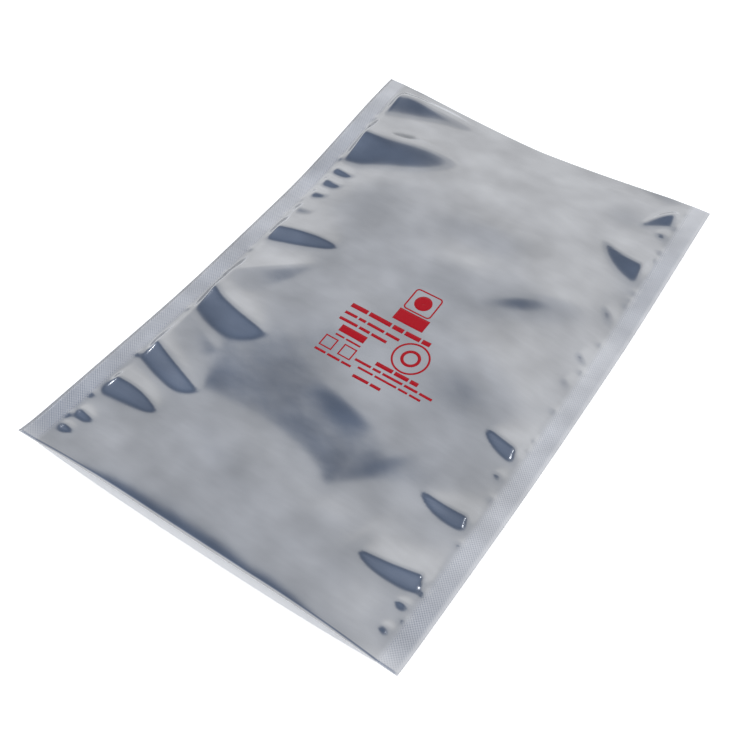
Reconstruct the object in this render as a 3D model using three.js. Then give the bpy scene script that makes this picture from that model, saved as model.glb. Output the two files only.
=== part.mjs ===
// Anti static shielding bag, empty, lying on a table with its open mouth towards -Y.
// One film is folded over at the far end and welded to itself along both long edges.
// Millimetres, +Z up. The origin is on the table, under the middle of the bag.
import * as THREE from 'three';

// Sizes of the bag when it is pressed flat
const bagWidth = 203;
const bagLength = 305;
const filmThickness = 0.08;
const sealWidth = 10;

// Heights of the lower film above the table: at the corners, and at the middle of the
// seals, the fold and the lower lip. The mouth's corners end in a short flick upwards.
const mouthCornerLift = 9;
const foldCornerLift = 10;
const sealLift = 2;
const foldLift = 3.4;
const lowerLipLift = 1.2;
const cornerFlick = 2;
const flickLength = 8;

// How far in from the edges the lower film rises off the table, and how far along the
// seals the corners are curled up
const sideRise = 30;
const endRise = 60;
const mouthCornerReach = 130;
const foldCornerReach = 110;

// Height of the pocket down the middle of the bag: the gap at the mouth, where the upper lip
// curls down, the pocket behind it, and low crowns behind the mouth and towards the fold.
// Places are shares of the length or of the width.
const lipGap = 8.2;
const lipCurlLength = 4;
const pocketHeight = 8.1;
const mouthCrown = 1.3;
const mouthCrownLength = 30;
const crownHeight = 3;
const crownPlace = 0.803;
const crownLength = 95;
const foldTaper = 60;
const rimTaper = 60;
const rimCurve = 2.2;

// A dip that crosses the upper film: how deep it is, how wide on the mouth's side and on the
// fold's side, how far it turns away on the right, and the pointed dent that it ends in
const dipDepth = 2.6;
const dipPlace = 0.216;
const dipNear = 46;
const dipFar = 36;
const dipTurn = 0.3;
const dipSteepness = 1.4;
const dipRounding = 0.14;
const dentPlace = 0.635;
const dentWidth = 10;
const dentReach = 13.6;
const dentRounding = 0.1;

// How sharply the fold and the lower lip turn up towards the corners
const foldCurve = 1.4;
const lipCurve = 2.4;

// How the loose edges draw in and bend when the bag is not pressed flat
const edgeBow = 1.4;
const foldRetreat = 1;
const upperLipRetreat = 1.4;
const lowerLipRetreat = 0.9;

// Longest step between two rows of the surface
const rowStep = 4.7;
const closestRows = 1.7;

// Distances from a seal at which the surface has a column, out to the middle
const columnDepths = [0, 3, 8, 15, 24, 35, 49, 65, 80];

// Puckers that run in from the seals. place is the share of the length at which the crest
// leaves the seal, reach is how far it runs in, lean is how far its tip lies towards the
// fold, bow bends it, and near and far are the widths of the flanks on the mouth's side
// and on the fold's side.
const leftPuckers = [
  { place: 0.944, reach: 54, lean: 8, bow: 7, height: 4.6, near: 15, far: 12 },
  { place: 0.834, reach: 62, lean: 8, bow: -1, height: 7, near: 21.5, far: 22 },
  { place: 0.745, reach: 17, lean: -3, bow: 0, height: 1.6, near: 5, far: 6 },
  { place: 0.713, reach: 16, lean: -3, bow: 0, height: 1.6, near: 6, far: 5 },
  { place: 0.672, reach: 13, lean: 0, bow: 0, height: 1.3, near: 5, far: 5 },
  { place: 0.625, reach: 14, lean: -1, bow: 0, height: 1.2, near: 5, far: 8 },
  { place: 0.561, reach: 42, lean: 3, bow: 1, height: 3.2, near: 9.5, far: 18 },
  { place: 0.43, reach: 40, lean: 26, bow: 0, height: 2.2, near: 22, far: 15 },
  { place: 0.396, reach: 45, lean: -13, bow: -2, height: 4.4, near: 17, far: 20 },
  { place: 0.33, reach: 32, lean: -13, bow: 0, height: 0.9, near: 18, far: 12 },
  { place: 0.256, reach: 39, lean: -14, bow: -1, height: 3.6, near: 12, far: 18 },
  { place: 0.155, reach: 32, lean: -3, bow: 3, height: 3, near: 10, far: 13 },
  { place: 0.084, reach: 13, lean: -2, bow: 0, height: 1.5, near: 5, far: 6 },
  { place: 0.049, reach: 10, lean: -1, bow: 0, height: 1.3, near: 4, far: 5 },
];
const rightPuckers = [
  { place: 0.958, reach: 18, lean: -14, bow: 5, height: 3, near: 9, far: 6 },
  { place: 0.91, reach: 9, lean: 0, bow: 0, height: 1.3, near: 4, far: 4 },
  { place: 0.826, reach: 29, lean: 5, bow: -2, height: 3.4, near: 11, far: 16 },
  { place: 0.702, reach: 10, lean: 4, bow: 0, height: 1.1, near: 6, far: 7 },
  { place: 0.6, reach: 8, lean: 2, bow: 0, height: 1, near: 3, far: 9 },
  { place: 0.548, reach: 7, lean: 0, bow: 0, height: 0.9, near: 4, far: 7 },
  { place: 0.39, reach: 21, lean: 2, bow: 0, height: 2.5, near: 7, far: 16 },
  { place: 0.341, reach: 8, lean: 0, bow: 0, height: 1, near: 4, far: 5 },
  { place: 0.254, reach: 28, lean: 0, bow: -1, height: 2.5, near: 7, far: 15 },
  { place: 0.14, reach: 33, lean: -6, bow: 0, height: 3, near: 8, far: 17 },
  { place: 0.092, reach: 9, lean: -1, bow: 0, height: 1.2, near: 4, far: 4 },
  { place: 0.049, reach: 8, lean: -1, bow: 0, height: 1.2, near: 4, far: 4 },
];
const crestRounding = 0.1;
const footRounding = 0.18;
const slackSteepness = 1.7;
const slackRounding = 0.17;
const leafFullness = 2.6;
const leafTip = 0.7;
const nearTip = 0.06;
const farTip = 0.35;
const puckerRise = 6;

// Puckers at least this long and this high have rows of the surface laid along them
const shortestGuide = 20;
const lowestGuide = 2.4;

// Soft swells in the middle of the upper film: place across and along, half length, half
// widths on the mouth's side and on the fold's side, turn of the long side in degrees, height
const swells = [
  { across: 0.762, along: 0.658, long: 26, near: 8, far: 30, turn: 34, height: 3 },
  { across: 0.55, along: 0.635, long: 17, near: 20, far: 14, turn: 0, height: 1.3 },
  { across: 0.71, along: 0.272, long: 14, near: 4, far: 14, turn: 58, height: 0.6 },
  { across: 0.36, along: 0.37, long: 24, near: 18, far: 34, turn: -20, height: 0.7 },
  { across: 0.555, along: 0.318, long: 17, near: 8, far: 20, turn: -12, height: 1.0 },
  { across: 0.78, along: 0.48, long: 26, near: 22, far: 26, turn: -8, height: 2.6 },
  { across: 0.42, along: 0.44, long: 24, near: 16, far: 24, turn: 10, height: 1.0 },
  { across: 0.57, along: 0.755, long: 28, near: 15, far: 26, turn: 10, height: 1.6 },
  { across: 0.80, along: 0.95, long: 16, near: 16, far: 14, turn: 0, height: 1.9 },
  { across: 0.42, along: 0.165, long: 28, near: 16, far: 14, turn: -34, height: 0.9 },
  { across: 0.68, along: 0.13, long: 20, near: 18, far: 14, turn: 20, height: 0.8 },
  { across: 0.62, along: 0.84, long: 20, near: 14, far: 18, turn: -20, height: 0.6 },
  { across: 0.2, along: 0.74, long: 18, near: 28, far: 26, turn: -10, height: 1.5 },
  { across: 0.775, along: 0.13, long: 18, near: 12, far: 4, turn: 78, height: 1.2 },
];
const swellInset = 25;
const foldCalm = 12;

const pocketWidth = bagWidth - 2 * sealWidth;

const clamp = (value) => THREE.MathUtils.clamp(value, 0, 1);

const ease = (value) => THREE.MathUtils.smoothstep(value, 0, 1);

// Share of the way from the middle of the width, 0, to an edge, 1
const offMiddle = (across) => Math.abs(across - bagWidth / 2) / (bagWidth / 2);

// Distance in from the nearer seal, 0 on the seals themselves
const sealDepth = (across) => Math.max(Math.min(across, bagWidth - across) - sealWidth, 0);

// Height of the welded band above the table, low in the middle and curled up at the corners
function sealHeight(along) {
  const mouth = 1 - ease(along / mouthCornerReach);
  const fold = 1 - ease((bagLength - along) / foldCornerReach);
  return sealLift + (mouthCornerLift - cornerFlick - sealLift) * mouth
    + cornerFlick * Math.exp(-along / flickLength) + (foldCornerLift - sealLift) * fold;
}

// Height of one end of the lower film, from its middle to the corners
function endHeight(across, middleLift, cornerLift, power) {
  const share = clamp(1 - sealDepth(across) / (pocketWidth / 2));
  return middleLift + (cornerLift - middleLift) * Math.pow(share, power);
}

// Lower face of the lower film: flat on the table, rising to the seals and to both ends
function lowerHeight(across, along) {
  const side = Math.pow(clamp(1 - sealDepth(across) / sideRise), 2);
  const fold = Math.pow(clamp(1 - (bagLength - along) / endRise), 2);
  const mouth = Math.pow(clamp(1 - along / endRise), 2);
  const foldLine = endHeight(across, foldLift, sealHeight(bagLength), foldCurve);
  const lipLine = endHeight(across, lowerLipLift, sealHeight(0), lipCurve);
  return side * sealHeight(along) + fold * (foldLine - side * sealHeight(bagLength))
    + mouth * (lipLine - side * sealHeight(0));
}

// Peak of 1 with a rounded point, falling away on both sides
const softPeak = (share, steepness, rounding) => (
  Math.exp(-steepness * (Math.hypot(share, rounding) - rounding)));

// Line of the dip's bottom across the bag, with the dent where it comes nearest the mouth
function dipLine(across) {
  const side = across - dentPlace * bagWidth;
  const dent = softPeak(side / dentWidth, 1, dentRounding);
  return dipPlace * bagLength + dipTurn * Math.max(side, 0) - dentReach * dent;
}

// Height of the pocket where its sides no longer pull it down
function spineHeight(across, along) {
  const crownShare = (along - crownPlace * bagLength) / crownLength;
  const beyond = along - dipLine(across);
  const dipShare = beyond / (beyond < 0 ? dipNear : dipFar);
  const open = pocketHeight + crownHeight * Math.exp(-crownShare * crownShare)
    + mouthCrown * Math.exp(-Math.pow(along / mouthCrownLength, 2))
    - dipDepth * softPeak(dipShare, dipSteepness, dipRounding);
  const curl = (open - lipGap) * Math.exp(-along / lipCurlLength);
  const closing = 1 - Math.pow(clamp(1 - (bagLength - along) / foldTaper), 2);
  return (open - curl) * closing;
}

// Plan of a pucker: full near the seal, with a blunt point at the tip
const leaf = (share) => Math.pow(1 - Math.pow(share, leafFullness), leafTip);

// Straight flank from 1 at the crest to 0 at the foot, rounded at both
function flank(share) {
  const line = 1 - Math.sqrt(share * share + crestRounding * crestRounding);
  return 0.5 * (line + Math.sqrt(line * line + footRounding * footRounding));
}

// Slack flank on the fold's side, falling away slowly
const slackFlank = (share) => softPeak(share, slackSteepness, slackRounding);

// Line of a pucker's crest, at a depth in from its seal
function crestLine(pucker, depth) {
  const share = clamp(depth / pucker.reach);
  return pucker.place * bagLength + pucker.lean * share + pucker.bow * 4 * share * (1 - share);
}

function puckerHeight(pucker, depth, along) {
  const share = depth / pucker.reach;
  if (share >= 1 || depth <= 0) {
    return 0;
  }
  const plan = leaf(share);
  const offset = along - crestLine(pucker, depth);
  const near = pucker.near * THREE.MathUtils.lerp(nearTip, 1, plan);
  const far = pucker.far * THREE.MathUtils.lerp(farTip, 1, plan);
  const profile = offset < 0 ? flank(-offset / near) / flank(0) : slackFlank(offset / far);
  return pucker.height * plan * ease(depth / puckerRise) * profile;
}

function swellHeight(swell, across, along) {
  const turn = THREE.MathUtils.degToRad(swell.turn);
  const x = across - swell.across * bagWidth;
  const y = along - swell.along * bagLength;
  const side = y * Math.cos(turn) - x * Math.sin(turn);
  const long = (x * Math.cos(turn) + y * Math.sin(turn)) / swell.long;
  const wide = side / (side < 0 ? swell.near : swell.far);
  return swell.height * Math.exp(-long * long - wide * wide);
}

// Clear height between the two films
function gapHeight(across, along) {
  const depth = sealDepth(across);
  if (depth === 0) {
    return 0;
  }
  const rim = 1 - Math.pow(clamp(1 - depth / rimTaper), rimCurve);
  const puckers = across < bagWidth / 2 ? leftPuckers : rightPuckers;
  let detail = 0;
  for (const pucker of puckers) {
    detail += puckerHeight(pucker, depth, along);
  }
  for (const swell of swells) {
    detail += swellHeight(swell, across, along) * ease(depth / swellInset);
  }
  return rim * spineHeight(across, along) + detail * ease((bagLength - along) / foldCalm);
}

// Place on the table of a point of the film, with the edges drawn in
function planPoint(across, along, height, lipRetreat) {
  const middle = 1 - Math.pow(offMiddle(across), 2);
  const lengthShare = (2 * along) / bagLength - 1;
  const fold = Math.pow(clamp(1 - (bagLength - along) / endRise), 2);
  const mouth = Math.pow(clamp(1 - along / endRise), 2);
  const x = across - bagWidth / 2 + edgeBow * (1 - lengthShare * lengthShare);
  const y = along - bagLength / 2 - foldRetreat * middle * fold + lipRetreat * middle * mouth;
  return new THREE.Vector3(x, y, height);
}

// The four faces of the film, from the top down. lift is 0 on the lower face of the lower film.
const faces = {
  outerUpper: (across, along) => planPoint(
    across, along,
    lowerHeight(across, along) + gapHeight(across, along) + 2 * filmThickness, upperLipRetreat),
  innerUpper: (across, along) => planPoint(
    across, along,
    lowerHeight(across, along) + gapHeight(across, along) + filmThickness, upperLipRetreat),
  innerLower: (across, along) => planPoint(
    across, along, lowerHeight(across, along) + filmThickness, lowerLipRetreat),
  outerLower: (across, along) => planPoint(
    across, along, lowerHeight(across, along), lowerLipRetreat),
};

// Columns across the bag: both edges, both seal lines and the depths between them
function columnPlaces() {
  const inner = columnDepths.filter((depth) => depth < pocketWidth / 2 - 1);
  const left = inner.map((depth) => sealWidth + depth);
  const right = inner.map((depth) => bagWidth - sealWidth - depth).reverse();
  return [0, ...left, bagWidth / 2, ...right, bagWidth];
}

const isGuide = (pucker) => pucker.reach > shortestGuide && pucker.height > lowestGuide;

// Rows along the bag: one at the crest and one at the foot of each large pucker, then
// evenly between them
function rowPlaces() {
  const marks = [0, bagLength];
  for (const pucker of [...leftPuckers, ...rightPuckers].filter(isGuide)) {
    marks.push(pucker.place * bagLength, pucker.place * bagLength - pucker.near);
  }
  marks.sort((a, b) => a - b);
  const kept = marks.filter((mark, i) => i === 0 || mark - marks[i - 1] > closestRows);
  const rows = [0];
  for (let i = 1; i < kept.length; i += 1) {
    const count = Math.ceil((kept[i] - kept[i - 1]) / rowStep);
    for (let step = 1; step <= count; step += 1) {
      rows.push(THREE.MathUtils.lerp(kept[i - 1], kept[i], step / count));
    }
  }
  return rows;
}

// How far a row leans at a depth, so that rows follow the crests of the large puckers
function rowLean(puckers, row, depth) {
  const guides = puckers.filter(isGuide);
  const stops = [
    { at: 0, lean: 0, reach: shortestGuide },
    ...guides.map((pucker) => (
      { at: pucker.place * bagLength, lean: pucker.lean, reach: pucker.reach })).reverse(),
    { at: bagLength, lean: 0, reach: shortestGuide },
  ];
  const next = Math.max(stops.findIndex((stop) => stop.at >= row), 1);
  const share = clamp((row - stops[next - 1].at) / (stops[next].at - stops[next - 1].at));
  const lean = THREE.MathUtils.lerp(stops[next - 1].lean, stops[next].lean, share);
  const reach = THREE.MathUtils.lerp(stops[next - 1].reach, stops[next].reach, share);
  const fade = 1 - ease((depth - reach) / (pocketWidth / 2 - reach));
  return lean * clamp(depth / reach) * fade;
}

// A grid of points over the whole bag, as [along, across] for each row and column
function layOut(rows, columns) {
  return rows.map((row) => columns.map((across) => {
    const puckers = across < bagWidth / 2 ? leftPuckers : rightPuckers;
    return [row + rowLean(puckers, row, sealDepth(across)), across];
  }));
}

function buildBag() {
  const rows = rowPlaces();
  const columns = columnPlaces();
  const plan = layOut(rows, columns);
  const lastRow = rows.length - 1;
  const lastColumn = columns.length - 1;
  const positions = [];
  const triangles = [];

  const addPoint = (point) => {
    positions.push(point.x, point.y, point.z);
    return positions.length / 3 - 1;
  };
  // A quad is given anticlockwise as seen from outside
  const addQuad = (a, b, c, d) => {
    triangles.push(a, b, c, a, c, d);
  };
  const addFace = (place, first, last, fold) => plan.map((row, i) => row.map(([along, across], j) => {
    if (j < first || j > last) {
      return -1;
    }
    const kept = i === lastRow ? Math.min(along, bagLength - fold) : along;
    return addPoint(place(across, kept));
  }));

  const outerUpper = addFace(faces.outerUpper, 0, lastColumn, 0);
  const outerLower = addFace(faces.outerLower, 0, lastColumn, 0);
  const innerUpper = addFace(faces.innerUpper, 1, lastColumn - 1, filmThickness);
  const innerLower = addFace(faces.innerLower, 2, lastColumn - 2, filmThickness);

  // The inner faces share their points along both seals and along the fold
  for (let i = 0; i <= lastRow; i += 1) {
    innerLower[i][1] = innerUpper[i][1];
    innerLower[i][lastColumn - 1] = innerUpper[i][lastColumn - 1];
  }
  innerLower[lastRow] = innerUpper[lastRow];

  for (let i = 0; i < lastRow; i += 1) {
    for (let j = 0; j < lastColumn; j += 1) {
      const welded = j === 0 || j === lastColumn - 1;
      addQuad(outerUpper[i][j], outerUpper[i][j + 1], outerUpper[i + 1][j + 1], outerUpper[i + 1][j]);
      addQuad(outerLower[i][j], outerLower[i + 1][j], outerLower[i + 1][j + 1], outerLower[i][j + 1]);
      if (!welded) {
        addQuad(innerUpper[i][j], innerUpper[i + 1][j], innerUpper[i + 1][j + 1], innerUpper[i][j + 1]);
        addQuad(innerLower[i][j], innerLower[i][j + 1], innerLower[i + 1][j + 1], innerLower[i + 1][j]);
      }
    }
    // The two long edges, through both films
    addQuad(outerUpper[i][0], outerUpper[i + 1][0], outerLower[i + 1][0], outerLower[i][0]);
    addQuad(outerUpper[i + 1][lastColumn], outerUpper[i][lastColumn],
      outerLower[i][lastColumn], outerLower[i + 1][lastColumn]);
  }

  for (let j = 0; j < lastColumn; j += 1) {
    // The fold at the far end
    addQuad(outerUpper[lastRow][j + 1], outerLower[lastRow][j + 1],
      outerLower[lastRow][j], outerUpper[lastRow][j]);
    // The two lips of the mouth
    if (j > 0 && j < lastColumn - 1) {
      addQuad(outerUpper[0][j], innerUpper[0][j], innerUpper[0][j + 1], outerUpper[0][j + 1]);
      addQuad(outerLower[0][j + 1], innerLower[0][j + 1], innerLower[0][j], outerLower[0][j]);
    }
  }

  // The cut ends of the two seals, beside the mouth
  addQuad(outerUpper[0][0], outerLower[0][0], outerLower[0][1], innerUpper[0][1]);
  triangles.push(outerUpper[0][0], innerUpper[0][1], outerUpper[0][1]);
  addQuad(outerUpper[0][lastColumn], innerUpper[0][lastColumn - 1],
    outerLower[0][lastColumn - 1], outerLower[0][lastColumn]);
  triangles.push(outerUpper[0][lastColumn], outerUpper[0][lastColumn - 1], innerUpper[0][lastColumn - 1]);

  const geometry = new THREE.BufferGeometry();
  geometry.setAttribute('position', new THREE.Float32BufferAttribute(positions, 3));
  geometry.setIndex(triangles);
  geometry.computeBoundingBox();
  const centre = geometry.boundingBox.getCenter(new THREE.Vector3());
  geometry.translate(-centre.x, -centre.y, 0);
  geometry.computeVertexNormals();
  return geometry;
}

const metallisedFilm = new THREE.MeshStandardMaterial({
  color: 0xb4b8be,
  metalness: 0.9,
  roughness: 0.25,
});

const bag = new THREE.Group();
const film = new THREE.Mesh(buildBag(), metallisedFilm);
film.name = 'shielding_bag';
bag.add(film);

export default bag;
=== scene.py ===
# Anti static shielding bag, lying empty and a little puffed on a pale table.
# One metallised film, folded at the far end and heat sealed along both long edges.
import math
import bpy
import numpy as np
from mathutils import Matrix, Vector


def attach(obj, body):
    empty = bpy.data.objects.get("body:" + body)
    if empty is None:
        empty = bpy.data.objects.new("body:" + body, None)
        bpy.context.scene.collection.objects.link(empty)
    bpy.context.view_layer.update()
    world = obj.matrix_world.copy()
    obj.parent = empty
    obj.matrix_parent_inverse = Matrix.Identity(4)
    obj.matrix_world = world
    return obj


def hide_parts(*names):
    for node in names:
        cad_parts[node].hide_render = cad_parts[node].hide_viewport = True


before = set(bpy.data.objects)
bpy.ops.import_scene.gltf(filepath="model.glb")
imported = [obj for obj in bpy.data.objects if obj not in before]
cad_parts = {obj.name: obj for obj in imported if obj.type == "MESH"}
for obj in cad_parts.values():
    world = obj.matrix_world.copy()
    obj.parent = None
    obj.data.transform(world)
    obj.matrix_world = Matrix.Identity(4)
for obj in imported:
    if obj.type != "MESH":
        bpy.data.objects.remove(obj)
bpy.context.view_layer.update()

mm = 0.001

# The bag's shape. Everything here is in millimetres, and each place is a share of the length
# or of the width.
bag = {
    # Pressed flat
    "width": 203, "length": 305, "film": 0.08, "seal": 10, "weldGap": 0.02,
    # Heights of the lower film at its corners, its seals and its ends
    "mouthCornerLift": 9, "foldCornerLift": 10, "sealLift": 2, "foldLift": 3.4, "lowerLipLift": 1.2,
    "cornerFlick": 2, "flickLength": 8,
    # How far in from its edges the lower film rises, and how sharply its ends turn up
    "sideRise": 30, "endRise": 60, "mouthCornerReach": 130, "foldCornerReach": 110,
    "foldCurve": 1.4, "lipCurve": 2.4,
    # The pocket: its height, the curl of the upper lip, and the way that it closes all round
    "lipGap": 8.2, "lipCurlLength": 4, "pocketHeight": 8.1,
    "foldTaper": 60, "rimTaper": 60, "rimCurve": 2.2,
    "mouthCrown": 1.3, "mouthCrownLength": 30, "crownHeight": 3, "crownPlace": 0.803, "crownLength": 95,
    # The dip across the upper film, and the dent that it comes to a point in
    "dipDepth": 2.6, "dipPlace": 0.216, "dipNear": 46, "dipFar": 36, "dipTurn": 0.3,
    "dipSteepness": 1.4, "dipRounding": 0.14,
    "dentPlace": 0.635, "dentWidth": 10, "dentReach": 13.6, "dentRounding": 0.1,
    # Every pucker: its rounded crest and foot, its slack side, and how it narrows to its tip
    "crestRounding": 0.1, "footRounding": 0.18, "slackSteepness": 1.7, "slackRounding": 0.17,
    "leafFullness": 2.6, "leafTip": 0.7, "nearTip": 0.06, "farTip": 0.35, "puckerRise": 6,
    # Every pinch, and how puckers, pinches and swells fade at the fold and at the seals
    "pinchHeight": 0.7, "pinchReach": 6, "pinchWidth": 2.4, "pinchSteepness": 1.8,
    "foldCalm": 12, "swellInset": 25,
    # The loose edges draw in where the bag isn't pressed flat
    "edgeBow": 1.4, "foldRetreat": 1, "upperLipRetreat": 1.4, "lowerLipRetreat": 0.9,
    # The round bulge of the fold
    "bulgeHeight": 0.9, "bulgeInset": 15, "bulgeLength": 8,
}

# Puckers that run in from the seals: share of the length, reach inwards, lean of the tip,
# bow, height, and the widths of the flanks towards the mouth and towards the fold
leftPuckers = [
    (0.944, 54, 8, 7, 4.6, 15, 12),
    (0.834, 62, 8, -1, 7, 21.5, 22),
    (0.745, 17, -3, 0, 1.6, 5, 6),
    (0.713, 16, -3, 0, 1.6, 6, 5),
    (0.672, 13, 0, 0, 1.3, 5, 5),
    (0.625, 14, -1, 0, 1.2, 5, 8),
    (0.561, 42, 3, 1, 3.2, 9.5, 18),
    (0.43, 40, 26, 0, 2.2, 22, 15),
    (0.396, 45, -13, -2, 4.4, 17, 20),
    (0.33, 32, -13, 0, 0.9, 18, 12),
    (0.256, 39, -14, -1, 3.6, 12, 18),
    (0.155, 32, -3, 3, 3, 10, 13),
    (0.084, 13, -2, 0, 1.5, 5, 6),
    (0.049, 10, -1, 0, 1.3, 4, 5),
]
rightPuckers = [
    (0.958, 18, -14, 5, 3, 9, 6),
    (0.91, 9, 0, 0, 1.3, 4, 4),
    (0.826, 29, 5, -2, 3.4, 11, 16),
    (0.702, 10, 4, 0, 1.1, 6, 7),
    (0.6, 8, 2, 0, 1, 3, 9),
    (0.548, 7, 0, 0, 0.9, 4, 7),
    (0.39, 21, 2, 0, 2.5, 7, 16),
    (0.341, 8, 0, 0, 1, 4, 5),
    (0.254, 28, 0, -1, 2.5, 7, 15),
    (0.14, 33, -6, 0, 3, 8, 17),
    (0.092, 9, -1, 0, 1.2, 4, 4),
    (0.049, 8, -1, 0, 1.2, 4, 4),
]
# Pinches right at the seals, between the puckers: shares of the length
leftPinches = [0.89, 0.862, 0.77, 0.648, 0.6, 0.5, 0.43, 0.335, 0.215, 0.115, 0.066]
rightPinches = [
    0.976, 0.935, 0.872, 0.852, 0.771, 0.754, 0.742, 0.647, 0.58, 0.49, 0.425, 0.405, 0.3, 0.21,
    0.118, 0.07,
]
# Soft swells of the upper film: share across, share along, half length, half widths on the near
# and far side, turn, height
swells = [
    (0.762, 0.658, 26, 8, 30, 34, 3),
    (0.55, 0.635, 17, 20, 14, 0, 1.3),
    (0.71, 0.272, 14, 4, 14, 58, 0.6),
    (0.36, 0.37, 24, 18, 34, -20, 0.7),
    (0.555, 0.318, 17, 8, 20, -12, 1.0),
    (0.78, 0.48, 26, 22, 26, -8, 2.6),
    (0.42, 0.44, 24, 16, 24, 10, 1.0),
    (0.57, 0.755, 28, 15, 26, 10, 1.6),
    (0.80, 0.95, 16, 16, 14, 0, 1.9),
    (0.42, 0.165, 28, 16, 14, -34, 0.9),
    (0.68, 0.13, 20, 18, 14, 20, 0.8),
    (0.62, 0.84, 20, 14, 18, -20, 0.6),
    (0.2, 0.74, 18, 28, 26, -10, 1.5),
    (0.775, 0.13, 18, 12, 4, 78, 1.2),
]


def clamp(value):
    return np.clip(value, 0, 1)


def ease(value):
    value = clamp(value)
    return value * value * (3 - 2 * value)


def sealDepth(across):
    # How far in from the nearer seal
    return np.maximum(np.minimum(across, bag["width"] - across) - bag["seal"], 0)


def sealHeight(along):
    # Height of the welded bands, low in the middle and curled up at the corners
    mouth = 1 - ease(along / bag["mouthCornerReach"])
    fold = 1 - ease((bag["length"] - along) / bag["foldCornerReach"])
    flick = bag["cornerFlick"] * np.exp(-along / bag["flickLength"])
    lift = bag["mouthCornerLift"] - bag["cornerFlick"] - bag["sealLift"]
    return bag["sealLift"] + lift * mouth + flick + (bag["foldCornerLift"] - bag["sealLift"]) * fold


def endHeight(across, middleLift, cornerLift, power):
    share = clamp(1 - sealDepth(across) / (bag["width"] / 2 - bag["seal"]))
    return middleLift + (cornerLift - middleLift) * share ** power


def lowerHeight(across, along):
    # The lower film: flat on the table, rising to the seals and to both ends
    side = clamp(1 - sealDepth(across) / bag["sideRise"]) ** 2
    fold = clamp(1 - (bag["length"] - along) / bag["endRise"]) ** 2
    mouth = clamp(1 - along / bag["endRise"]) ** 2
    foldEnd = sealHeight(np.float64(bag["length"]))
    mouthEnd = sealHeight(np.float64(0))
    foldLine = endHeight(across, bag["foldLift"], foldEnd, bag["foldCurve"])
    lipLine = endHeight(across, bag["lowerLipLift"], mouthEnd, bag["lipCurve"])
    return (side * sealHeight(along) + fold * (foldLine - side * foldEnd)
            + mouth * (lipLine - side * mouthEnd))


def softPeak(share, steepness, rounding):
    # 1 at the middle with a rounded point, falling away on both sides
    return np.exp(-steepness * (np.hypot(share, rounding) - rounding))


def dipLine(across):
    # The dip runs across the upper film, and comes to a point nearer the mouth at the dent
    side = across - bag["dentPlace"] * bag["width"]
    dent = softPeak(side / bag["dentWidth"], 1, bag["dentRounding"])
    bottom = bag["dipPlace"] * bag["length"] + bag["dipTurn"] * np.maximum(side, 0)
    return bottom - bag["dentReach"] * dent


def spineHeight(across, along):
    # Height of the pocket where its sides no longer pull it down
    crownShare = (along - bag["crownPlace"] * bag["length"]) / bag["crownLength"]
    beyond = along - dipLine(across)
    dipShare = beyond / np.where(beyond < 0, bag["dipNear"], bag["dipFar"])
    opened = bag["pocketHeight"] + bag["crownHeight"] * np.exp(-crownShare ** 2)
    opened = opened + bag["mouthCrown"] * np.exp(-(along / bag["mouthCrownLength"]) ** 2)
    opened = opened - bag["dipDepth"] * softPeak(dipShare, bag["dipSteepness"], bag["dipRounding"])
    curl = (opened - bag["lipGap"]) * np.exp(-along / bag["lipCurlLength"])
    closing = 1 - clamp(1 - (bag["length"] - along) / bag["foldTaper"]) ** 2
    return (opened - curl) * closing


def flank(share):
    # A straight slope from the crest, 0, to the foot, 1, rounded at both
    line = 1 - np.hypot(share, bag["crestRounding"])
    return 0.5 * (line + np.hypot(line, bag["footRounding"]))


def puckerHeight(pucker, depth, along):
    place, reach, lean, bow, height, near, far = pucker
    share = clamp(depth / reach)
    plan = (1 - share ** bag["leafFullness"]) ** bag["leafTip"]
    crest = place * bag["length"] + lean * share + bow * 4 * share * (1 - share)
    offset = along - crest
    nearWidth = near * (bag["nearTip"] + (1 - bag["nearTip"]) * plan)
    farWidth = far * (bag["farTip"] + (1 - bag["farTip"]) * plan)
    steep = flank(np.abs(offset) / nearWidth) / flank(0.0)
    slack = softPeak(offset / farWidth, bag["slackSteepness"], bag["slackRounding"])
    profile = np.where(offset < 0, steep, slack)
    return np.where(depth > 0, height * plan * ease(depth / bag["puckerRise"]) * profile, 0)


def pinchHeight(place, depth, along):
    offset = (along - place * bag["length"]) / bag["pinchWidth"]
    profile = np.exp(-np.where(offset < 0, offset * bag["pinchSteepness"], offset) ** 2)
    share = depth / bag["pinchReach"]
    return bag["pinchHeight"] * profile * clamp(1 - share) ** 2 * np.where(depth > 0, 1, 0)


def swellHeight(swell, across, along):
    acrossShare, alongShare, long, near, far, turn, height = swell
    x = across - acrossShare * bag["width"]
    y = along - alongShare * bag["length"]
    cosine = math.cos(math.radians(turn))
    sine = math.sin(math.radians(turn))
    side = y * cosine - x * sine
    wide = np.where(side < 0, near, far)
    return height * np.exp(-((x * cosine + y * sine) / long) ** 2 - (side / wide) ** 2)


def gapHeight(across, along):
    # Clear height between the two films
    depth = sealDepth(across)
    rim = 1 - clamp(1 - depth / bag["rimTaper"]) ** bag["rimCurve"]
    left = sum(puckerHeight(pucker, depth, along) for pucker in leftPuckers)
    right = sum(puckerHeight(pucker, depth, along) for pucker in rightPuckers)
    left = left + sum(pinchHeight(place, depth, along) for place in leftPinches)
    right = right + sum(pinchHeight(place, depth, along) for place in rightPinches)
    detail = np.where(across < bag["width"] / 2, left, right)
    soft = sum(swellHeight(swell, across, along) for swell in swells)
    detail = detail + soft * ease(depth / bag["swellInset"])
    calm = ease((bag["length"] - along) / bag["foldCalm"])
    return rim * spineHeight(across, along) + detail * calm


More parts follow.
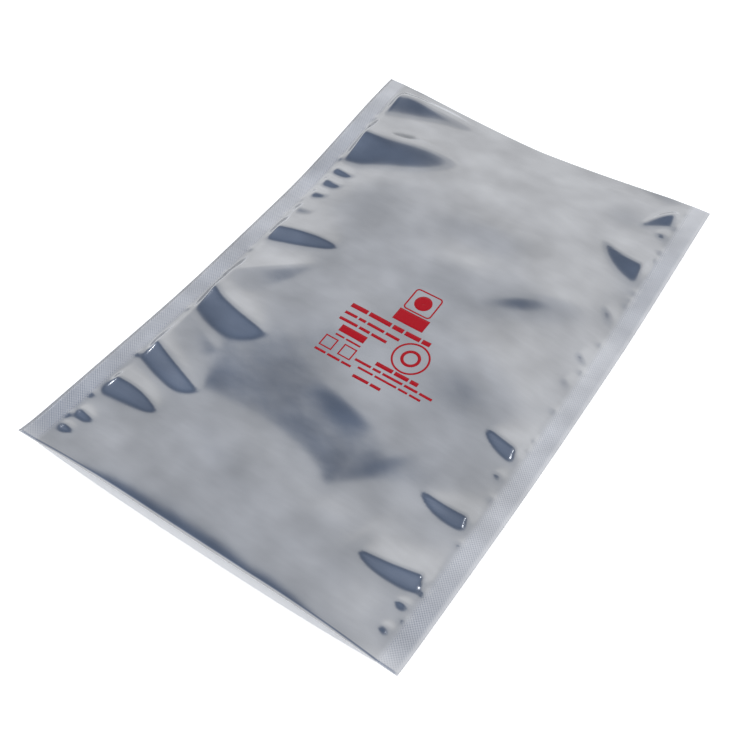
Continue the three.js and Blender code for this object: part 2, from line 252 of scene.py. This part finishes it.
def planPlace(across, along, lipRetreat):
    # Place on the table of a point of the film. Half the bow comes off, to keep the bag centred.
    middle = 1 - (np.abs(across - bag["width"] / 2) / (bag["width"] / 2)) ** 2
    lengthShare = 2 * along / bag["length"] - 1
    fold = clamp(1 - (bag["length"] - along) / bag["endRise"]) ** 2
    mouth = clamp(1 - along / bag["endRise"]) ** 2
    x = across - bag["width"] / 2 + bag["edgeBow"] * (1 - lengthShare ** 2) - bag["edgeBow"] / 2
    y = along - bag["length"] / 2 - bag["foldRetreat"] * middle * fold + lipRetreat * middle * mouth
    return x, y


def upperFilm(across, along):
    x, y = planPlace(across, along, bag["upperLipRetreat"])
    gap = gapHeight(across, along)
    # The fold is round, not a knife edge
    fromFold = bag["length"] - along
    nearFold = clamp(fromFold / (bag["bulgeHeight"] / 2))
    bulge = bag["bulgeHeight"] * ease(sealDepth(across) / bag["bulgeInset"])
    bulge = bulge * np.sqrt(1 - (1 - nearFold) ** 2)
    gap = np.maximum(gap, 0) + bulge * np.exp(-fromFold / bag["bulgeLength"])
    z = lowerHeight(across, along) + gap + 2 * bag["film"] + bag["weldGap"]
    return np.stack([x, y, z], axis=-1)


def lowerFilm(across, along):
    x, y = planPlace(across, along, bag["lowerLipRetreat"])
    return np.stack([x, y, lowerHeight(across, along)], axis=-1)


def linear(colour):
    # From an sRGB hex value
    values = [int(colour[i:i + 2], 16) / 255 for i in (1, 3, 5)]
    return tuple(v / 12.92 if v <= 0.04045 else ((v + 0.055) / 1.055) ** 2.4 for v in values) + (1,)


def addNode(tree, kind, links=(), **settings):
    # A setting is a property of the node where it has one of that name, and otherwise a socket
    node = tree.nodes.new(kind)
    for name, value in settings.items():
        if hasattr(node, name):
            setattr(node, name, value)
        else:
            node.inputs[name.replace("_", " ")].default_value = value
    for socket, source in links:
        tree.links.new(source, node.inputs[socket])
    return node


# Polyester film with a vapour-deposited coat of aluminium, over polyethylene: a soft grey mirror
filmLook = {
    "colour": "#abadb1", "roughness": 0.17,
    # The welded bands are paler and rougher, with a knurl. Its pitch is drawn about twice as
    # coarse as the real one, so that it shows.
    "sealColour": "#c2c4c9", "sealRoughness": 0.3, "weldFade": 2,
    "knurlPitch": 1.4, "knurlDepth": 0.035,
    # Slow waves and fine wrinkles of the film: size and depth of each
    "waves": [(22.0, 0.24), (7.0, 0.032), (1.1, 0.004)],
    # The metal coat is a little uneven: size of the clouds and of the scuffs, how much each is
    # drawn out across the web, and the tones between which it lies
    "haze": [(27.0, 0.8, 0.82, 1.09), (2.2, 0.22, 0.985, 1.012)],
    # The stretch of the noise's own values that is spread over those tones
    "hazeFrom": 0.32, "hazeTo": 0.68,
    # The inside's white tone is partly painted reflection, standing in for bright light bounced inside
    # the mouth
    "insideColourAndPaintedReflection": "#f2f3f5", "insideRoughness": 0.45,
}


def makeFilmMaterial():
    material = bpy.data.materials.new("metallised_polyester")
    material.use_nodes = True
    tree = material.node_tree
    shader = tree.nodes["Principled BSDF"]
    shader.inputs["Base Color"].default_value = linear(filmLook["colour"])
    shader.inputs["Metallic"].default_value = 1
    shader.inputs["Roughness"].default_value = filmLook["roughness"]
    uv = addNode(tree, "ShaderNodeUVMap", uv_map="film")
    split = addNode(tree, "ShaderNodeSeparateXYZ", [(0, uv.outputs[0])])
    # The UV map is the flat film in metres, so the knurl follows the seals
    turns = 2 * math.pi / (filmLook["knurlPitch"] * mm)
    waves = []
    for axis in (0, 1):
        scaled = addNode(tree, "ShaderNodeMath", [(0, split.outputs[axis])], operation="MULTIPLY")
        scaled.inputs[1].default_value = turns
        waves.append(addNode(tree, "ShaderNodeMath", [(0, scaled.outputs[0])], operation="SINE"))
    knurl = addNode(tree, "ShaderNodeMath",
                    [(0, waves[0].outputs[0]), (1, waves[1].outputs[0])], operation="MULTIPLY")
    # Only the two welded bands are knurled
    fromMiddle = addNode(tree, "ShaderNodeMath", [(0, split.outputs[0])], operation="SUBTRACT")
    fromMiddle.inputs[1].default_value = bag["width"] / 2 * mm
    apart = addNode(tree, "ShaderNodeMath", [(0, fromMiddle.outputs[0])], operation="ABSOLUTE")
    band = addNode(tree, "ShaderNodeMapRange", [(0, apart.outputs[0])],
                   interpolation_type="SMOOTHSTEP")
    weldEdge = bag["width"] / 2 - bag["seal"]
    band.inputs["From Min"].default_value = (weldEdge - filmLook["weldFade"]) * mm
    band.inputs["From Max"].default_value = (weldEdge + filmLook["weldFade"]) * mm
    pressed = addNode(tree, "ShaderNodeMath",
                      [(0, knurl.outputs[0]), (1, band.outputs[0])], operation="MULTIPLY")
    rougher = addNode(tree, "ShaderNodeMath", [(0, band.outputs[0])], operation="MULTIPLY_ADD")
    rougher.inputs[1].default_value = filmLook["sealRoughness"] - filmLook["roughness"]
    rougher.inputs[2].default_value = filmLook["roughness"]
    tree.links.new(rougher.outputs[0], shader.inputs["Roughness"])
    knurlBump = addNode(tree, "ShaderNodeBump", [("Height", pressed.outputs[0])],
                        Strength=1.0, Distance=filmLook["knurlDepth"] * mm)
    sealTone = addNode(tree, "ShaderNodeMix", [(0, band.outputs[0])], data_type="RGBA")
    sealTone.inputs[6].default_value = linear(filmLook["colour"])
    sealTone.inputs[7].default_value = linear(filmLook["sealColour"])
    tone = sealTone
    for size, drawn, darkest, lightest in filmLook["haze"]:
        web = addNode(tree, "ShaderNodeMapping", [("Vector", uv.outputs[0])])
        web.inputs["Scale"].default_value = (drawn, 1, 1)
        clouds = addNode(tree, "ShaderNodeTexNoise", [("Vector", web.outputs[0])],
                         Scale=1 / (size * mm), Detail=2.0, Roughness=0.5)
        level = addNode(tree, "ShaderNodeMapRange", [(0, clouds.outputs[0])])
        for socket, value in zip(("From Min", "From Max", "To Min", "To Max"),
                                 (filmLook["hazeFrom"], filmLook["hazeTo"], darkest, lightest)):
            level.inputs[socket].default_value = value
        hazed = addNode(tree, "ShaderNodeMix", data_type="RGBA", blend_type="MULTIPLY")
        hazed.inputs[0].default_value = 1
        tree.links.new(tone.outputs[2], hazed.inputs[6])
        tree.links.new(level.outputs[0], hazed.inputs[7])
        tone = hazed
    tree.links.new(tone.outputs[2], shader.inputs["Base Color"])
    objectPlace = addNode(tree, "ShaderNodeTexCoord")
    bump = knurlBump
    for size, depth in filmLook["waves"]:
        wave = addNode(tree, "ShaderNodeTexNoise", [("Vector", objectPlace.outputs["Object"])],
                       Scale=1 / (size * mm), Detail=1.0, Roughness=0.5)
        bump = addNode(tree, "ShaderNodeBump",
                       [("Height", wave.outputs[0]), ("Normal", bump.outputs[0])],
                       Strength=1.0, Distance=depth * mm)
    tree.links.new(bump.outputs[0], shader.inputs["Normal"])
    return material


def makeInsideMaterialWithPaintedReflection():
    # The inner layer is blown polyethylene over the metal, silky, in a plain white that is painted
    # reflection: it stands in for bright light bounced inside the mouth
    material = bpy.data.materials.new("polyethylene_with_painted_reflection")
    material.use_nodes = True
    shader = material.node_tree.nodes["Principled BSDF"]
    shader.inputs["Base Color"].default_value = linear(filmLook["insideColourAndPaintedReflection"])
    shader.inputs["Roughness"].default_value = filmLook["insideRoughness"]
    return material


# The fine grid of the film: cells across the seals and the pocket, and along each film, how much
# they crowd towards the seals, and the last stretch before the fold, in millimetres
grid = {
    "sealCells": 4, "pocketCells": 112, "upperCells": 222, "foldCells": 6, "lowerCells": 60,
    "crowding": 0.55, "foldStretch": 1,
}


def acrossPlaces():
    # Columns from the left edge to the right one
    seal = np.linspace(0, bag["seal"], grid["sealCells"] + 1)
    # They are close together beside the seals, where the film puckers
    share = np.linspace(-1, 1, grid["pocketCells"] + 1)
    half = bag["width"] / 2 - bag["seal"]
    crowded = grid["crowding"] * np.sin(share * math.pi / 2) + (1 - grid["crowding"]) * share
    pocket = bag["width"] / 2 + half * crowded
    return np.concatenate([seal, pocket[1:-1], bag["width"] - seal[::-1]])


def alongPlaces():
    # From the upper lip over the fold to the lower lip, as a distance along the flat film
    nearFold = bag["length"] - grid["foldStretch"]
    upper = np.linspace(0, nearFold, grid["upperCells"] + 1)
    fold = np.linspace(nearFold, bag["length"], grid["foldCells"] + 1)
    lower = np.linspace(bag["length"], 2 * bag["length"], grid["lowerCells"] + 1)
    return np.concatenate([upper, fold[1:], lower[1:]])


def makeFilm(material, insideMaterialWithPaintedReflection):
    across = acrossPlaces()
    along = alongPlaces()
    columns = len(across) - 1
    rows = len(along) - 1
    bpy.ops.object.select_all(action="DESELECT")
    bpy.ops.mesh.primitive_grid_add(x_subdivisions=columns, y_subdivisions=rows, size=1)
    film = bpy.context.object
    film.name = "film_bag"
    mesh = film.data
    flat = np.empty(len(mesh.vertices) * 3)
    mesh.vertices.foreach_get("co", flat)
    flat = flat.reshape(-1, 3)
    # The flat grid is bent into the folded film, point by point
    acrossAt = across[np.rint((flat[:, 0] + 0.5) * columns).astype(int)]
    alongAt = along[np.rint((flat[:, 1] + 0.5) * rows).astype(int)]
    upper = alongAt < bag["length"]
    placed = np.where(upper[:, None], upperFilm(acrossAt, np.minimum(alongAt, bag["length"])),
                      lowerFilm(acrossAt, 2 * bag["length"] - alongAt))
    mesh.vertices.foreach_set("co", (placed * mm).ravel())
    uvMap = mesh.uv_layers[0]
    uvMap.name = "film"
    corners = np.empty(len(mesh.loops), dtype=int)
    mesh.loops.foreach_get("vertex_index", corners)
    uvMap.data.foreach_set("uv", (np.stack([acrossAt, alongAt], axis=-1)[corners] * mm).ravel())
    mesh.update()
    film.data.materials.append(material)
    film.data.materials.append(insideMaterialWithPaintedReflection)
    bpy.ops.object.modifier_add(type="SOLIDIFY")
    wall = film.modifiers[-1]
    wall.thickness = bag["film"] * mm
    wall.offset = -1
    wall.material_offset = 1
    bpy.ops.object.modifier_apply(modifier=wall.name)
    bpy.ops.object.shade_smooth()
    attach(film, "root")
    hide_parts("shielding_bag")
    print("film made,", len(film.data.vertices), "vertices")
    return film


# Red ink on the film, in plain shapes. Places are across and along the flat film, in millimetres:
# bars as left, right, low, high, and rows of short bars as left, low, height, then bar lengths
printing = {
    "colour": "#ad091c", "roughness": 0.4, "specular": 0.15, "lift": 0.04, "thickness": 0.015,
    # Size of the cells that follow the film, fewest cells of a ring and of the frame, and the
    # distance at which the points of neighbours are one
    "cell": 1.2, "ringCells": 24, "frameCells": 96, "merge": 0.02,
    # Space between the short bars of a row
    "gap": 1.1,
    # Middle, width, height, corner and line of the frame, and middle and radii of each ring
    "frame": (109.3, 165.2, 15.6, 14.6, 2.2, 0.8), "frameDisc": (109.3, 165.2, 0.02, 4.6),
    "bars": [(101.2, 118.4, 149.4, 157.2), (84.2, 98.6, 127.9, 132.2)],
    "ring": (122.4, 133.2, 8.5, 9.5), "innerRing": (122.4, 133.2, 3.4, 5),
    "squares": [(80.8, 88, 116.2, 123.2, 0.7), (91.6, 98.8, 116.2, 123.2, 0.7)],
    "rows": [
        (80.5, 143.6, 2.7, [9.5, 12.5, 6, 8.5, 4.6]),
        (80.4, 138.6, 1.7, [7, 4, 9.5, 7.6]),
        (80.2, 134.1, 1.7, [10.4, 6, 8.6]),
        (84.4, 125.1, 1, [5, 8.2]),
        (80.6, 113, 1.3, [6.2, 7, 5.4]),
        (110.2, 120.8, 2.3, [9.4, 7.6, 4.2]),
        (100.6, 117.8, 1.4, [9, 4.4, 11, 7.2, 6.8]),
        (104.4, 114.7, 1.2, [8.4, 12, 5, 6]),
        (105, 109.2, 1.7, [8.8, 5.6]),
    ],
}


def makeInkMaterial():
    # Flexographic ink, printed on the polyester: a flat, even red with little gloss
    material = bpy.data.materials.new("red_flexo_ink")
    material.use_nodes = True
    shader = material.node_tree.nodes["Principled BSDF"]
    shader.inputs["Base Color"].default_value = linear(printing["colour"])
    shader.inputs["Roughness"].default_value = printing["roughness"]
    shader.inputs["Specular IOR Level"].default_value = printing["specular"]
    return material


def addPatch(patches, columns, rows, place):
    # A grid whose points are laid on the upper film at place(share across, share along)
    bpy.ops.object.select_all(action="DESELECT")
    bpy.ops.mesh.primitive_grid_add(x_subdivisions=columns, y_subdivisions=rows, size=1)
    patch = bpy.context.object
    flat = np.empty(len(patch.data.vertices) * 3)
    patch.data.vertices.foreach_get("co", flat)
    flat = flat.reshape(-1, 3)
    across, along = place(flat[:, 0] + 0.5, flat[:, 1] + 0.5)
    placed = upperFilm(across, along)
    placed[:, 2] += printing["lift"]
    patch.data.vertices.foreach_set("co", (placed * mm).ravel())
    patch.data.update()
    patches.append(patch)


def cellsFor(length):
    return max(int(math.ceil(length / printing["cell"])), 1)


def addBar(patches, left, right, low, high):
    addPatch(patches, cellsFor(right - left), cellsFor(high - low),
             lambda s, t: (left + (right - left) * s, low + (high - low) * t))


def addRing(patches, across, along, inner, outer):
    cells = max(cellsFor(2 * math.pi * outer), printing["ringCells"])
    addPatch(patches, cells, cellsFor(outer - inner),
             lambda s, t: (across + (inner + (outer - inner) * t) * np.cos(-2 * math.pi * s),
                           along + (inner + (outer - inner) * t) * np.sin(-2 * math.pi * s)))


def addFrame(patches, across, along, wide, high, corner, line):
    # A line of even width round a rectangle with rounded corners
    cornerX = np.array([1, -1, -1, 1])
    cornerY = np.array([-1, -1, 1, 1])

    def place(s, t):
        # Each quarter goes round one corner and then straight on to the next
        quarter = np.floor(s * 4).astype(int) % 4
        bend = clamp((s * 4 % 1) * 2)
        slide = clamp((s * 4 % 1) * 2 - 1)
        following = (quarter + 1) % 4
        x = (wide / 2 - corner) * (cornerX[quarter] * (1 - slide) + cornerX[following] * slide)
        y = (high / 2 - corner) * (cornerY[quarter] * (1 - slide) + cornerY[following] * slide)
        turn = -(quarter + bend) * math.pi / 2
        reach = corner - line * (1 - t)
        return across + x + reach * np.cos(turn), along + y + reach * np.sin(turn)

    addPatch(patches, printing["frameCells"], 1, place)


def makePrint(material):
    patches = []
    addFrame(patches, *printing["frame"])
    addRing(patches, *printing["frameDisc"])
    for bar in printing["bars"]:
        addBar(patches, *bar)
    addRing(patches, *printing["ring"])
    addRing(patches, *printing["innerRing"])
    for left, right, low, high, line in printing["squares"]:
        addBar(patches, left, right, low, low + line)
        addBar(patches, left, right, high - line, high)
        addBar(patches, left, left + line, low + line, high - line)
        addBar(patches, right - line, right, low + line, high - line)
    for left, low, height, lengths in printing["rows"]:
        for length in lengths:
            addBar(patches, left, left + length, low, low + height)
            left += length + printing["gap"]
    for patch in patches:
        patch.select_set(True)
    bpy.context.view_layer.objects.active = patches[0]
    bpy.ops.object.join()
    ink = bpy.context.object
    ink.name = "red_print"
    bpy.ops.object.mode_set(mode="EDIT")
    bpy.ops.mesh.select_all(action="SELECT")
    bpy.ops.mesh.remove_doubles(threshold=printing["merge"] * mm)
    bpy.ops.mesh.normals_make_consistent(inside=False)
    bpy.ops.object.mode_set(mode="OBJECT")
    bpy.ops.object.modifier_add(type="SOLIDIFY")
    coat = ink.modifiers[-1]
    coat.thickness = printing["thickness"] * mm
    coat.offset = -1
    bpy.ops.object.modifier_apply(modifier=coat.name)
    bpy.ops.object.shade_smooth()
    ink.data.materials.append(material)
    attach(ink, "root")
    print("print made,", len(ink.data.polygons), "faces")
    return ink


# Camera, light and table, in metres, degrees and millimetres of lens. Each softbox: name,
# direction, distance, size, power.
studio = {
    "cameraPlace": (0.1741, -0.2828, 0.3963), "aim": (0.0091, -0.0309, 0), "roll": 0.77,
    "lens": 49.83, "sensor": 36, "clipStart": 0.01,
    "light": 2.4, "panelTurn": 15, "wallTurn": 30,
    "softboxes": [
        ("low softbox", (-0.88, 0, 0.47), 1.2, 0.07, 0.4),
        ("high softbox", (0.22, -0.05, 0.97), 1.2, 0.06, 0.2),
    ],
    "floorSize": 8, "floorDrop": 0.0002, "floorColour": (0.85, 0.85, 0.85, 1), "floorRoughness": 0.9,
    "floorGlow": 0.55,
}


def makeCamera():
    data = bpy.data.cameras.new("camera")
    data.lens = studio["lens"]
    data.sensor_width = studio["sensor"]
    data.clip_start = studio["clipStart"]
    camera = bpy.data.objects.new("camera", data)
    bpy.context.collection.objects.link(camera)
    place = Vector(studio["cameraPlace"])
    look = Vector(studio["aim"]) - place
    turn = look.to_track_quat("-Z", "Y").to_matrix()
    turn = turn @ Matrix.Rotation(math.radians(studio["roll"]), 3, "Z")
    camera.matrix_world = Matrix.Translation(place) @ turn.to_4x4()
    bpy.context.scene.camera = camera


def grey(level, blue):
    # A grey that leans to blue by a share of its level
    return (level * (1 - blue), level, level * (1 + 2 * blue), 1)


def addRamp(tree, source, stops):
    ramp = addNode(tree, "ShaderNodeValToRGB", [(0, source)])
    while len(ramp.color_ramp.elements) < len(stops):
        ramp.color_ramp.elements.new(0.5)
    for element, (place, level, blue) in zip(ramp.color_ramp.elements, stops):
        element.position = place
        element.color = grey(level, blue)
    return ramp.outputs[0]


# The studio: a long panel beyond the fold, seen by its height above the far edge of the table in
# degrees, and pale walls all round, seen by the sine of their height. Each stop: place, level, blue
panelStops = [
    (0, 0.46, 0), (30, 0.48, 0), (44, 0.5, 0), (50, 0.455, 0), (55, 0.41, 0.01), (60, 0.385, 0.02),
    (64, 0.375, 0.02), (67, 0.37, 0.02), (70, 0.365, 0.02), (72, 0.35, 0.025), (74, 0.27, 0.05),
    (76, 0.19, 0.1), (80, 0.12, 0.19), (85, 0.1, 0.22), (93, 0.14, 0.2), (107, 0.19, 0.16),
    (119, 0.4, 0.03), (132, 0.5, 0), (180, 0.46, 0),
]
wallStops = [
    (0, 0.52, 0), (0.2, 0.47, 0.01), (0.34, 0.38, 0.02), (0.47, 0.24, 0.05), (0.59, 0.1, 0.16),
    (1, 0.1, 0.2),
]


def makeWorld():
    world = bpy.data.worlds.new("studio")
    bpy.context.scene.world = world
    world.use_nodes = True
    tree = world.node_tree
    tree.nodes.clear()
    place = addNode(tree, "ShaderNodeTexCoord")
    split = addNode(tree, "ShaderNodeSeparateXYZ", [(0, place.outputs["Generated"])])
    nearer = addNode(tree, "ShaderNodeVectorMath", [(0, place.outputs["Generated"])],
                     operation="DOT_PRODUCT")
    panelTurn = math.radians(studio["panelTurn"])
    nearer.inputs[1].default_value = (-math.sin(panelTurn), -math.cos(panelTurn), 0)
    # A whole turn is 1, and straight up is one half
    angle = addNode(tree, "ShaderNodeMath",
                    [(0, nearer.outputs["Value"]), (1, split.outputs[2])], operation="ARCTAN2")
    turn = addNode(tree, "ShaderNodeMath", [(0, angle.outputs[0])], operation="MULTIPLY_ADD")
    turn.inputs[1].default_value = 1 / (2 * math.pi)
    turn.inputs[2].default_value = 0.5
    panel = addRamp(tree, turn.outputs[0],
                    [((degrees - 90) / 360 + 0.5, level, blue) for degrees, level, blue in panelStops])
    wallHeight = addNode(tree, "ShaderNodeVectorMath", [(0, place.outputs["Generated"])],
                         operation="DOT_PRODUCT")
    wallTurn = math.radians(studio["wallTurn"])
    wallHeight.inputs[1].default_value = (-math.sin(wallTurn), 0, math.cos(wallTurn))
    walls = addRamp(tree, wallHeight.outputs["Value"], wallStops)
    both = addNode(tree, "ShaderNodeMix", data_type="RGBA", blend_type="LIGHTEN")
    both.inputs[0].default_value = 1
    tree.links.new(panel, both.inputs[6])
    tree.links.new(walls, both.inputs[7])
    studioLight = addNode(tree, "ShaderNodeBackground", [("Color", both.outputs[2])],
                          Strength=studio["light"])
    # The camera itself sees plain white all round
    white = addNode(tree, "ShaderNodeBackground", Strength=1.0)
    white.inputs["Color"].default_value = (1, 1, 1, 1)
    rays = addNode(tree, "ShaderNodeLightPath")
    mix = addNode(tree, "ShaderNodeMixShader",
                  [(0, rays.outputs["Is Camera Ray"]), (1, studioLight.outputs[0]),
                   (2, white.outputs[0])])
    addNode(tree, "ShaderNodeOutputWorld", [(0, mix.outputs[0])])


def makeFloor():
    bpy.ops.object.select_all(action="DESELECT")
    bpy.ops.mesh.primitive_plane_add(size=studio["floorSize"], location=(0, 0, -studio["floorDrop"]))
    floor = bpy.context.object
    floor.name = "floor"
    # Uncoated paper: matt, and shown as white to the camera and in the film
    material = bpy.data.materials.new("white_paper")
    material.use_nodes = True
    tree = material.node_tree
    shader = tree.nodes["Principled BSDF"]
    shader.inputs["Base Color"].default_value = studio["floorColour"]
    shader.inputs["Roughness"].default_value = studio["floorRoughness"]
    shader.inputs["Specular IOR Level"].default_value = 0.0
    glow = addNode(tree, "ShaderNodeEmission", Strength=studio["floorGlow"])
    rays = addNode(tree, "ShaderNodeLightPath")
    seen = addNode(tree, "ShaderNodeMath",
                   [(0, rays.outputs["Is Camera Ray"]), (1, rays.outputs["Is Glossy Ray"])],
                   operation="MAXIMUM")
    both = addNode(tree, "ShaderNodeAddShader", [(0, shader.outputs[0]), (1, glow.outputs[0])])
    mix = addNode(tree, "ShaderNodeMixShader",
                  [(0, seen.outputs[0]), (1, shader.outputs[0]), (2, both.outputs[0])])
    output = next(node for node in tree.nodes if node.type == "OUTPUT_MATERIAL")
    tree.links.new(mix.outputs[0], output.inputs[0])
    floor.data.materials.append(material)


def makeSoftbox(name, direction, distance, size, power):
    data = bpy.data.lights.new(name, "AREA")
    data.shape = "SQUARE"
    data.size = size
    data.energy = power
    lamp = bpy.data.objects.new(name, data)
    bpy.context.collection.objects.link(lamp)
    place = Vector(direction).normalized() * distance
    lamp.location = place
    lamp.rotation_euler = (-place).to_track_quat("-Z", "Y").to_euler()


makeCamera()
makeWorld()
makeFloor()
for softbox in studio["softboxes"]:
    makeSoftbox(*softbox)
print("camera, light and table set")
film = makeFilm(makeFilmMaterial(), makeInsideMaterialWithPaintedReflection())
ink = makePrint(makeInkMaterial())

scene = bpy.context.scene
scene.view_settings.view_transform = "Standard"
